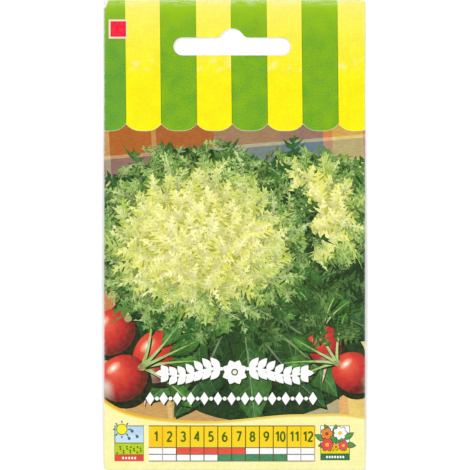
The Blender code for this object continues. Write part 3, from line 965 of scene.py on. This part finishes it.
def draw_picture(sheet, draw):
    draw_cloth(sheet)
    dark, mid = ("2c5630", "1a3c22"), ("427238", "2c5a2c")
    for x, y, rx, ry in ((9, -36, 27, 14.5), (26, -13, 16, 11)):
        sheet.lay(ellipse(x, y, rx, ry, 0.12, steps=40), "1e3a24 16301c")
    sheet.lay(leaf_outline((14, -28, math.pi - 0.1), 50, 24, steps=16), "2a4428 1a3420")
    for x, y, degrees, length, width, bend, inks in (
        (14, -19, -6, 27, 13, -0.015, dark), (-14, -20, 188, 26, 14, 0.01, dark),
        (10, -22, -28, 30, 13, -0.012, dark), (6, -26, -56, 28, 12, 0.01, dark),
        (-12, -23, 216, 30, 12, 0.015, dark), (-3, -26, 248, 27, 13, -0.01, dark),
        (3, -27, -84, 25, 12, 0.0, mid), (12, -27, -34, 23, 10, -0.02, mid),
        (-8, -27, 238, 24, 11, -0.012, mid),
    ):
        draw_broad_leaf(sheet, x, y, degrees, length, width, bend, *inks)
    for x, y, radius, crown_degrees in (
        (-33.5, -26.5, 6.4, 40), (24.5, -30.0, 5.0, 100), (32.5, -37.5, 5.8, 150), (-21.0, -33.0, 7.0, 62),
        (-30.5, -39.0, 6.6, 30),
    ):
        draw_radish(sheet, x, y, radius, crown_degrees, draw)
    for _ in range(60):
        x, y = draw.uniform(-14, 37), draw.uniform(-29, -11)
        add_frond(sheet, FRONT_HEAD, draw, x, y, 8, 5, 1.6, -0.5, 0.6)
    draw_head(sheet, BACK_HEAD, draw)
    draw_head(sheet, FRONT_HEAD, draw)
    draw_ornament(sheet)
    draw_bead_row(sheet)


# The back, read from behind. A place r across from its middle is at r - BEHIND on the left wing.

BACK_MIDDLE = 5.2 - BEHIND  # of the left wing's wide panel
PANEL_HALF = 26.5
LINE_PITCH = 3.2
LINE_WIDTH = 0.18


def draw_back_panel(sheet):
    """Ruled lines and four plain signs on the left wing, which is most of the back."""
    x0, x1 = BACK_MIDDLE - PANEL_HALF, BACK_MIDDLE + PANEL_HALF
    at = [mix(x0, x1, (k + 0.5) / 4) for k in range(4)]
    green, line, cream = "6fae3a 5fa036", "8f9a78", "fffdf0"
    for y0, y1 in ((8, 40), (-16, 4)):
        sheet.box(x0, y0, x1, y1, green)
        sheet.box(x0 + 0.5, y0 + 0.5, x1 - 0.5, y1 - 0.5, cream)
    sheet.box(x0, 34, x1, 40, green)
    for k in range(7):
        y = 30 - LINE_PITCH * k
        sheet.box(x0 + 3, y, x1 - 3, y + LINE_WIDTH, line)
    for x, code in zip(at, ("cfe2f2", "cfe2f2", "f6eeb4", "f6eeb4")):
        sheet.box(x - 5.4, -13.5, x + 5.4, 1.5, Ink(code))
    draw_sun(sheet, at[0], -6, 2.1)
    for dx, y in ((-2, -3.5), (1, -5), (-1.2, -8), (2.4, -8.6)):
        draw_drop(sheet, at[1] + dx, y, 0.9, "4c7ea6 3f6f98")
    sheet.box(at[2] - 5.4, -13.5, at[2] + 5.4, -10, "8a6a44 76583a")
    for degrees in (35, 145, 90):
        draw_small_leaf(sheet, at[2], -9.6, 4.6, 1.9, degrees, "6fb04a 5a9a40")
    for dx, y, code in ((-2.8, -4, "ee5a50"), (0, -7.2, "f7f4ea"), (2.8, -4, "f0a03c")):
        draw_blossom(sheet, at[3] + dx, y, 1.8, 6, Ink(code), "f6d020")
    for k in range(12):
        x = mix(x0, x1, k / 12)
        sheet.box(x + 0.2, -26, x + 4.2, -20, Ink("fde04a" if k % 2 else "fbd21e"))
        draw_number(sheet, k + 1, x + 2.2, -24.4, 2.6, "4f7a1e")
    for k in range(5):
        y = -32 - LINE_PITCH * k
        sheet.box(x0, y, x1 - 6.5 * (k == 4), y + LINE_WIDTH, line)


def draw_back(sheet):
    """The wings, the bottom flap and what is printed on them."""
    bleed = SIDE + FOLD_ARC + 0.8
    for x0, x1 in ((LEFT_END - 1, -bleed), (bleed, RIGHT_END + 1)):
        sheet.box(x0, -END, x1, END, BAND)
    draw_back_panel(sheet)


def draw_print():
    draw = random.Random(RANDOM_SEED)
    sheet = Sheet()
    sheet.lay(sheet_outline(), BAND)
    draw_picture(sheet, draw)
    draw_awning(sheet)
    draw_price_square(sheet)
    draw_band(sheet)
    draw_calendar(sheet)
    draw_weather_sign(sheet)
    draw_flower_sign(sheet)
    draw_back(sheet)
    return sheet


# From the flat sheet to the folded mesh

def fold_lines():
    """Lines along the folds and the steps, which the flat mesh must follow."""
    lines = []
    for k in range(9):
        past = FOLD_ARC * k / 8
        for sign in (-1, 1):
            lines.append(((sign * (SIDE + past), -END), (sign * (SIDE + past), END)))
            lines.append(((-SIDE, sign * (END + past)), (SIDE, sign * (END + past))))
    for y in spaced(TOP_STEP - TUCK, TOP_STEP, 4) + spaced(BOTTOM_STEP, BOTTOM_STEP + TUCK, 4):
        lines.append(((LEFT_END, y), (RIGHT_END, y)))
    for x in spaced(WING_STEP, WING_STEP + TUCK, 4):
        lines.append(((BEHIND - x, -END), (BEHIND - x, END)))
    return lines


def grid_points(pitch):
    return [
        (x, y)
        for x in np.arange(LEFT_END + pitch / 3, RIGHT_END, pitch)
        for y in np.arange(BOTTOM_END + pitch / 3, TOP_END, pitch)
    ]


def area(points):
    """What the outline encloses, negative where it runs clockwise."""
    after = points[1:] + points[:1]
    return sum(x0 * y1 - x1 * y0 for (x0, y0), (x1, y1) in zip(points, after)) / 2


def numbered(outlines):
    """The outlines' places in one list, and each outline as numbers in it, anticlockwise."""
    places, faces = [], []
    for outline in outlines:
        numbers = list(range(len(places), len(places) + len(outline)))
        faces.append(numbers if area(outline) > 0 else numbers[::-1])
        places += outline
    return places, faces


def stretches(lines, pitch, first):
    """Places at least every pitch along straight lines, and edges between them that count from first."""
    places, edges = [], []
    for (x0, y0), (x1, y1) in lines:
        steps = math.ceil(math.dist((x0, y0), (x1, y1)) / pitch)
        start = first + len(places)
        places += [(mix(x0, x1, i / steps), mix(y0, y1, i / steps)) for i in range(steps + 1)]
        edges += [(start + i, start + i + 1) for i in range(steps)]
    return places, edges


def cut(places, edges, faces, kind):
    """The plane cut along edges and outlines: (places, triangles, each one's faces, places' sources)."""
    got = delaunay_2d_cdt([Vector(p) for p in places], edges, faces, kind, SAME_POINT, True)
    return np.array([tuple(v) for v in got[0]]), np.array(got[2]), got[5], got[3]


def keep_used(places, triangles):
    """The places that triangles use: (places, triangles, the new number of each old place)."""
    used = sorted({v for triangle in triangles for v in triangle})
    number = {v: i for i, v in enumerate(used)}
    return places[used], np.array([[number[v] for v in triangle] for triangle in triangles]), number


def within(points, outline):
    """Which points lie inside an outline."""
    x, y = points[:, 0], points[:, 1]
    inside = np.zeros(len(points), bool)
    for (x0, y0), (x1, y1) in zip(outline, outline[1:] + outline[:1]):
        if y0 != y1:
            inside ^= ((y0 > y) != (y1 > y)) & (x < mix(x0, x1, (y - y0) / (y1 - y0)))
    return inside


def borders(triangles, top):
    """The triangles' sides that part two shapes, or a shape and what is cut away."""
    sides = np.sort(triangles[:, [0, 1, 1, 2, 2, 0]].reshape(-1, 2), axis=1)
    shown = np.repeat(top, 3)
    pairs, number = np.unique(sides, axis=0, return_inverse=True)
    number = number.ravel()
    lowest = np.full(len(pairs), len(triangles))
    highest = np.full(len(pairs), CUT_AWAY)
    np.minimum.at(lowest, number, shown)
    np.maximum.at(highest, number, shown)
    alone = np.bincount(number) == 1
    return pairs[(lowest != highest) | (alone & (highest != CUT_AWAY))]


def flat_print(sheet):
    """The outer side, flat: places, triangles and the shape that shows on each triangle.

    The shapes are laid over each other first. Only the lines that show are then kept, and the
    sheet is cut again along them, along the folds and over a grid, so that it can bend.
    """
    slots = len(sheet.shapes)
    places, faces = numbered([points for points, _ in sheet.shapes] + slots_in_sheet())
    flat, triangles, covers, _ = cut(places, [], faces, 1)
    top = np.array([max(s) if 0 in s and max(s) < slots else CUT_AWAY for s in covers])
    tree = BVHTree.FromPolygons([(x, y, 0) for x, y in flat], triangles.tolist())

    lines = [(flat[a], flat[b]) for a, b in borders(triangles, top)] + fold_lines()
    places, edges = stretches(lines, GRID, 0)
    flat, triangles, _, _ = cut(places + grid_points(GRID), edges, [], 0)
    middles = flat[triangles].mean(axis=1)
    top = top[[tree.find_nearest((x, y, 0))[2] for x, y in middles]]
    on_sheet = (top != CUT_AWAY) & within(middles, sheet.shapes[0][0])
    places, triangles, _ = keep_used(flat, triangles[on_sheet])
    return places, triangles, top[on_sheet]


def rim_loops(triangles):
    """The sheet's cut edges as closed loops of point numbers, the sheet on their left."""
    sides = {(int(a), int(b)) for row in triangles for a, b in zip(row, np.roll(row, -1))}
    after = {a: b for a, b in sides if (b, a) not in sides}
    loops = []
    while after:
        start = min(after)
        loop = [start]
        follow = after.pop(start)
        while follow != start:
            loop.append(follow)
            follow = after.pop(follow)
        loops.append(loop)
    return loops


def bare_side(places, loops):
    """The inner side, flat, with few points: places, triangles and each loop's points in it."""
    outlines = [[tuple(places[v]) for v in loop] for loop in loops]
    holes = {i for i, outline in enumerate(outlines) if area(outline) < 0}
    corners, faces = numbered(outlines)
    more, edges = stretches(fold_lines(), INNER_GRID, len(corners))
    inner, triangles, covers, origin = cut(corners + more + grid_points(INNER_GRID), edges, faces, 1)
    kept = [f for f, shapes in zip(triangles, covers) if shapes and not holes & set(shapes)]
    landed = {source: v for v, sources in enumerate(origin) for source in sources}
    inner, kept, number = keep_used(inner, kept)
    ends, first = [], 0
    for outline in outlines:
        ends.append([number[landed[first + k]] for k in range(len(outline))])
        first += len(outline)
    return inner, kept, ends


def rim_faces(loops, ends, shift):
    """Faces between the two sides."""
    faces = []
    for loop, end in zip(loops, ends):
        for k in range(len(loop)):
            after = (k + 1) % len(loop)
            faces.append((loop[k], end[k] + shift, end[after] + shift, loop[after]))
    return faces


def build_sheet(sheet):
    """The printed sheet's mesh: its outer side, its inner side and the rim between them."""
    places, triangles, top = flat_print(sheet)
    loops = rim_loops(triangles)
    inner_places, inner_triangles, ends = bare_side(places, loops)
    outer_normals, inner_normals = outward(*places.T), outward(*inner_places.T)
    inner = folded(*inner_places.T) - PAPER * inner_normals
    inner_faces = inner_triangles[:, ::-1]
    rim = rim_faces(loops, ends, len(places))
    faces = triangles.tolist() + (inner_faces + len(places)).tolist() + rim
    mesh = bpy.data.meshes.new("printed_sheet")
    mesh.from_pydata((np.concatenate([folded(*places.T), inner]) * MM).tolist(), [], faces)
    sides = [0] * len(triangles) + [1] * len(inner_faces) + [2] * len(rim)
    mesh.polygons.foreach_set("material_index", sides)
    mesh.shade_smooth()
    printed = 3 * len(triangles)
    flat = np.concatenate([places, inner_places])[[v for face in faces for v in face]]
    paint(mesh, sheet, flat, top)
    lay_out(mesh, flat, printed, printed + 3 * len(inner_faces))
    rim_normals = np.zeros((4 * len(rim), 3))
    normals = (outer_normals[triangles.ravel()], -inner_normals[inner_faces.ravel()], rim_normals)
    mesh.normals_split_custom_set(np.concatenate(normals).tolist())
    return mesh


def paint(mesh, sheet, flat, top):
    """The print's colours and grain on the corners of the outer faces."""
    corners = len(mesh.loops)
    light, deep = np.ones((2, corners, 4), np.float32)
    grain, place = np.zeros((2, corners, 3), np.float32)
    place[:, :2] = flat
    shape = np.repeat(top, 3)
    order = np.argsort(shape, kind="stable")
    cuts = np.flatnonzero(np.diff(shape[order])) + 1
    for group in np.split(order, cuts):
        ink = sheet.shapes[shape[group[0]]][1]
        light[group, :3], deep[group, :3], grain[group] = ink.colours(*flat[group].T)
    light[:, :3] *= PAPER_WHITE
    deep[:, :3] *= PAPER_WHITE
    for name, kind, values in (
        ("ink", "color", light), ("ink_deep", "color", deep),
        ("grain", "vector", grain), ("flat", "vector", place),
    ):
        layer = mesh.attributes.new(name, "FLOAT_" + kind.upper(), "CORNER")
        layer.data.foreach_set(kind, values.ravel())


MAP_HEIGHT = 0.88
MAP_MARGIN = 0.005
SMALL_SCALE = 0.12
SMALL_LEFT = 0.86
RIM_FOOT, RIM_TOP = 0.2, 0.205


def lay_out(mesh, flat, printed, bare):
    """A map with the printed side unfolded, and small copies of the bare side and the rim by it."""
    scale = MAP_HEIGHT / (TOP_END - BOTTOM_END)
    places = (flat - (LEFT_END, BOTTOM_END)) * scale + MAP_MARGIN
    places[printed:] = (places[printed:] - MAP_MARGIN) * SMALL_SCALE + (SMALL_LEFT, MAP_MARGIN)
    rim = places[bare:].reshape(-1, 4, 2)
    rim[:, :, 1] += (RIM_FOOT, RIM_TOP, RIM_TOP, RIM_FOOT)
    layer = mesh.uv_layers.new(name="OFBake")
    layer.uv.foreach_set("vector", places.astype(np.float32).ravel())


# Materials

class Nodes:
    """A node tree: add makes a node and links or sets its inputs."""

    def __init__(self, owner):
        owner.use_nodes = True
        self.tree = owner.node_tree

    def feed(self, socket, value):
        if isinstance(value, bpy.types.NodeSocket):
            self.tree.links.new(value, socket)
        else:
            socket.default_value = value

    def add(self, kind, inputs, **settings):
        node = self.tree.nodes.new("ShaderNode" + kind)
        for name, value in settings.items():
            setattr(node, name, value)
        for name, value in inputs.items():
            self.feed(node.inputs[name], value)
        return node

    def math(self, operation, *values):
        return self.add("Math", dict(enumerate(values)), operation=operation).outputs[0]

    def product(self, a, b):
        return self.math("MULTIPLY", a, b)

    def off(self, value, middle):
        """How far the value is from the middle one."""
        return self.math("ABSOLUTE", self.math("SUBTRACT", value, middle))

    def ramp(self, value, start, stop, low=0.0, high=1.0, kind="SMOOTHSTEP"):
        inputs = {"Value": value, "From Min": start, "From Max": stop, "To Min": low, "To Max": high}
        return self.add("MapRange", inputs, interpolation_type=kind).outputs[0]

    def parts(self, vector):
        return self.add("SeparateXYZ", {0: vector}).outputs


class Finish(Nodes):
    """A material's nodes."""

    def __init__(self, name):
        self.material = bpy.data.materials.new(name)
        super().__init__(self.material)
        self.shader = self.tree.nodes["Principled BSDF"]

    def set(self, **values):
        for name, value in values.items():
            self.feed(self.shader.inputs[name.replace("_", " ")], value)

    def attribute(self, name, output="Vector"):
        return self.add("Attribute", {}, attribute_name=name).outputs[output]

    def place(self):
        """Where a point is, in metres."""
        return self.add("TexCoord", {}).outputs["Object"]

    def noise(self, vector, scale, detail=2.0, stretch=None):
        """Soft noise about 0.5, with grains about 1 / scale long, shorter by stretch on each axis."""
        if stretch:
            vector = self.add("VectorMath", {0: vector, 1: stretch}, operation="MULTIPLY").outputs[0]
        return self.add("TexNoise", {"Vector": vector, "Scale": scale, "Detail": detail}).outputs["Fac"]

    def blend(self, share, a, b, way="MIX"):
        """b over a by share."""
        return self.add("Mix", {0: share, 6: a, 7: b}, data_type="RGBA", blend_type=way).outputs[2]

    def bump(self, height, strength, distance):
        node = self.add("Bump", {"Height": height, "Strength": strength, "Distance": distance})
        self.feed(self.shader.inputs["Normal"], node.outputs[0])

    def screen(self, across, along):
        """The lines of the faint squares that the print's screens make."""
        turn = 2 * math.pi / SCREEN_PITCH
        waves = [self.math("SINE", self.product(value, turn)) for value in (across, along)]
        return self.math("MAXIMUM", *(self.ramp(wave, 0.2, 1.0) for wave in waves))

    def rubbed_folds(self, flat, across, along):
        """Where the ink is worn off along the folds."""
        rubbed = self.ramp(self.noise(flat, 1.6, 4.0), 0.42, 0.68)
        past_side = self.off(self.math("ABSOLUTE", across), SIDE + FOLD_ARC / 2)
        past_end = self.off(self.math("ABSOLUTE", along), END + FOLD_ARC / 2)
        near = self.math("MAXIMUM", self.ramp(past_side, 0.75, 0.2), self.ramp(past_end, 0.9, 0.2))
        return self.product(near, self.product(rubbed, 0.22))

    def smudges(self, flat, along):
        """Painted highlights: pale patches under the slot, as of gloss on the creases there."""
        marks = self.ramp(self.noise(flat, 1.0, 1.5, (0.32, 0.45, 1)), 0.5, 0.7)
        return self.product(marks, self.ramp(self.off(along, SLOT_HIGHLIGHT_Y), 3.2, 0.6))

    def top_wear(self, flat, along):
        """Painted highlight along the top fold, in pale streaks."""
        streaks = self.ramp(self.noise(flat, 1.0, 3.0, (0.3, 2.6, 1)), 0.42, 0.62)
        return self.product(streaks, self.ramp(along, END - 1.9, END - 0.2, 0.0, 0.3))


MOTTLE = (0.25, 0.36, 0.03, 1)
# The screen's pale lines, and also the colour of the painted highlights under the slot
PALE_LINES_AND_HIGHLIGHTS = (PAPER_WHITE, 0.75, 0.46, 1)
DEEP_LINES = (0.7, 0.64, 0.14, 1)
# The colour of the painted highlight along the top fold
TOP_FOLD_HIGHLIGHT = (0.78, 0.8, 0.7, 1)
BARE_PAPER = (PAPER_WHITE, PAPER_WHITE, 0.95 * PAPER_WHITE, 1)


def print_material():
    """Ink on coated paper: strands, drift and mottling in it, its screen, worn places, painted highlights
    under the slot and along the top fold, a soft shine.
    """
    finish = Finish("coated_print")
    blend, noise, product, ramp = finish.blend, finish.noise, finish.product, finish.ramp
    flat = finish.attribute("flat")
    across, along, _ = finish.parts(flat)
    drift = finish.math("SUBTRACT", noise(flat, 0.22), 0.5)
    strands = finish.math("MULTIPLY_ADD", drift, 0.5, noise(finish.attribute("grain"), 1.0, 3.0))
    deep, light = finish.attribute("ink_deep", "Color"), finish.attribute("ink", "Color")
    ink = blend(ramp(strands, 0.36, 0.62), deep, light)
    ink = blend(ramp(noise(flat, 0.8, 4.0), 0.3, 0.7, 0.0, 0.07), ink, MOTTLE)

    red, green, blue = finish.add("SeparateColor", {0: ink}).outputs
    warm = ramp(finish.math("MINIMUM", red, green), 0.25, 0.65)
    yellow = product(warm, ramp(blue, 0.6, 0.42))
    # Painted highlights under the slot pale the warm inks and strengthen the screen's lines there
    marks = finish.smudges(flat, along)
    screen = finish.screen(across, along)
    lines = finish.math("MULTIPLY_ADD", marks, 0.4, ramp(along, END - 24.0, END, 0.01, 0.3))
    pale = finish.math("MULTIPLY_ADD", screen, lines, product(marks, 0.16))
    ink = blend(product(warm, pale), ink, PALE_LINES_AND_HIGHLIGHTS)
    weave = product(screen, ramp(along, -48.5, -51.0, 0.0, 0.14))
    ink = blend(product(yellow, weave), ink, DEEP_LINES)

    # Painted highlight along the top fold
    ink = blend(finish.top_wear(flat, along), ink, TOP_FOLD_HIGHLIGHT)
    worn = finish.rubbed_folds(flat, across, along)
    ink = blend(worn, ink, BARE_PAPER)
    rough = finish.math("ADD", ramp(noise(flat, 0.25, 4.0), 0.3, 0.7, 0.27, 0.34), product(worn, 0.3))
    finish.set(Base_Color=ink, Roughness=rough, Specular_IOR_Level=0.22)
    finish.set(Coat_Weight=0.06, Coat_Roughness=0.2)
    height = finish.math("ADD", noise(flat, 6.0, 3.0), product(noise(flat, 0.12), 8.0))
    finish.bump(height, 0.12, 0.00004)
    return finish.material


def paper_material(name, shade, size):
    """Bare paper: matted fibres, a little uneven in shade."""
    finish = Finish(name)
    place = finish.place()
    fibres = finish.noise(place, 900 / size, 5.0, (1.0, 4.0, 4.0))
    cloud = finish.noise(place, 120 / size, 3.0)
    colour = finish.blend(finish.ramp(fibres, 0.3, 0.7), (*(0.82 * c for c in shade), 1), (*shade, 1))
    colour = finish.blend(finish.ramp(cloud, 0.3, 0.7, 0.0, 0.4), colour, (0.7, 0.68, 0.6, 1), "MULTIPLY")
    finish.set(Base_Color=colour, Roughness=finish.ramp(fibres, 0.3, 0.7, 0.75, 0.92))
    finish.bump(fibres, 0.3, 0.00004)
    return finish.material


def glue_material():
    """Dried paste: milky and amber in patches, drawn out in streaks."""
    finish = Finish("dried_glue")
    place = finish.place()
    patches = finish.noise(place, 260.0, 4.0)
    streaks = finish.noise(place, 500.0, 2.0, (1.0, 6.0, 1.0))
    colour = finish.blend(finish.ramp(patches, 0.35, 0.65), (0.62, 0.5, 0.27, 1), (0.8, 0.76, 0.62, 1))
    finish.set(Base_Color=colour, Roughness=finish.ramp(streaks, 0.3, 0.7, 0.28, 0.5))
    finish.bump(streaks, 0.4, 0.00003)
    return finish.material


def seed_material():
    """Ribbed seed coats from straw to dark brown."""
    finish = Finish("seed_coat")
    place = finish.place()
    tone = finish.noise(place, 350.0, 2.0)
    ribs = finish.noise(place, 3200.0, 3.0)
    colour = finish.blend(finish.ramp(tone, 0.35, 0.65), (0.13, 0.075, 0.035, 1), (0.46, 0.34, 0.19, 1))
    colour = finish.blend(finish.ramp(ribs, 0.35, 0.65, 0.0, 0.7), colour, (0.55, 0.44, 0.3, 1), "MULTIPLY")
    finish.set(Base_Color=colour, Roughness=finish.ramp(ribs, 0.3, 0.7, 0.5, 0.72))
    finish.bump(ribs, 0.5, 0.0001)
    return finish.material


def floor_material():
    """A pale board, all but even."""
    finish = Finish("pale_board")
    grain = finish.noise(finish.place(), 30.0, 4.0)
    colour = finish.blend(finish.ramp(grain, 0.3, 0.7), (0.94, 0.94, 0.94, 1), (0.96, 0.96, 0.96, 1))
    finish.set(Base_Color=colour, Roughness=finish.ramp(grain, 0.3, 0.7, 0.85, 0.95))
    return finish.material


# The pieces

def add_packet():
    mesh = build_sheet(draw_print())
    packet = bpy.data.objects.new("printed_sheet", mesh)
    bpy.context.scene.collection.objects.link(packet)
    mesh.materials.append(print_material())
    mesh.materials.append(paper_material("bare_paper", (0.82, 0.81, 0.77), 1.0))
    mesh.materials.append(paper_material("cut_paper", (0.84, 0.84, 0.81), 0.4))
    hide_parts("packet")
    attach(packet, "root")


def finish_cad_nodes():
    """The glue and the seeds keep their modelled shapes and get their looks."""
    glue, seeds = glue_material(), seed_material()
    for name, node in frame["nodes"].items():
        if name != "packet":
            node.data.materials.clear()
            node.data.materials.append(seeds if name == "seeds" else glue)


# The camera, the floor and the light
CAMERA_X = 0.0001  # the packet is a little to the left of the photograph's middle
CAMERA_HEIGHT = 1.2
LAMPS = (("key", (-0.95, 0.85, 1.2), 13.8), ("fill", (1.0, -0.6, 1.1), 9.6))
LAMP_SIZE = 1.0
ZENITH_LIGHT = 0.15
RING_LIGHT = 1.475
LOW_LIGHT = 0.35


def add_camera():
    data = bpy.data.cameras.new("camera")
    camera = bpy.data.objects.new("camera", data)
    bpy.context.scene.collection.objects.link(camera)
    camera.location = (CAMERA_X, 0, CAMERA_HEIGHT)
    data.sensor_fit = "HORIZONTAL"
    header_top = (STACK + PITCH) * MM
    data.angle = 2 * math.atan(HEIGHT * MM / 2 / (CAMERA_HEIGHT - header_top))
    data.clip_end = 20
    bpy.context.scene.camera = camera


def add_floor():
    bpy.ops.mesh.primitive_plane_add(size=6, location=(0, 0, 0))
    floor = bpy.context.object
    floor.name = "floor"
    floor.data.materials.append(floor_material())


def add_lamp(name, place, power):
    data = bpy.data.lights.new(name, "AREA")
    data.size = LAMP_SIZE
    data.energy = power
    lamp = bpy.data.objects.new(name, data)
    lamp.location = place
    lamp.rotation_euler = (-Vector(place)).to_track_quat("-Z", "Y").to_euler()
    bpy.context.scene.collection.objects.link(lamp)


def add_lights():
    """A broad ring of soft light high up, dim straight above and low down, and two lamps."""
    world = bpy.data.worlds.new("studio")
    bpy.context.scene.world = world
    nodes = Nodes(world)
    height = nodes.parts(nodes.add("TexCoord", {}).outputs["Generated"])[2]
    rise = nodes.ramp(height, 0.58, 0.7, LOW_LIGHT, RING_LIGHT, "LINEAR")
    dimming = nodes.ramp(height, 0.86, 0.93, 0, RING_LIGHT - ZENITH_LIGHT, "LINEAR")
    background = nodes.tree.nodes["Background"].inputs
    nodes.feed(background["Color"], (1, 1, 1, 1))
    nodes.feed(background["Strength"], nodes.math("SUBTRACT", rise, dimming))
    for name, place, power in LAMPS:
        add_lamp(name, place, power)
    bpy.context.scene.view_settings.view_transform = "Standard"


add_packet()
finish_cad_nodes()
add_camera()
add_floor()
add_lights()
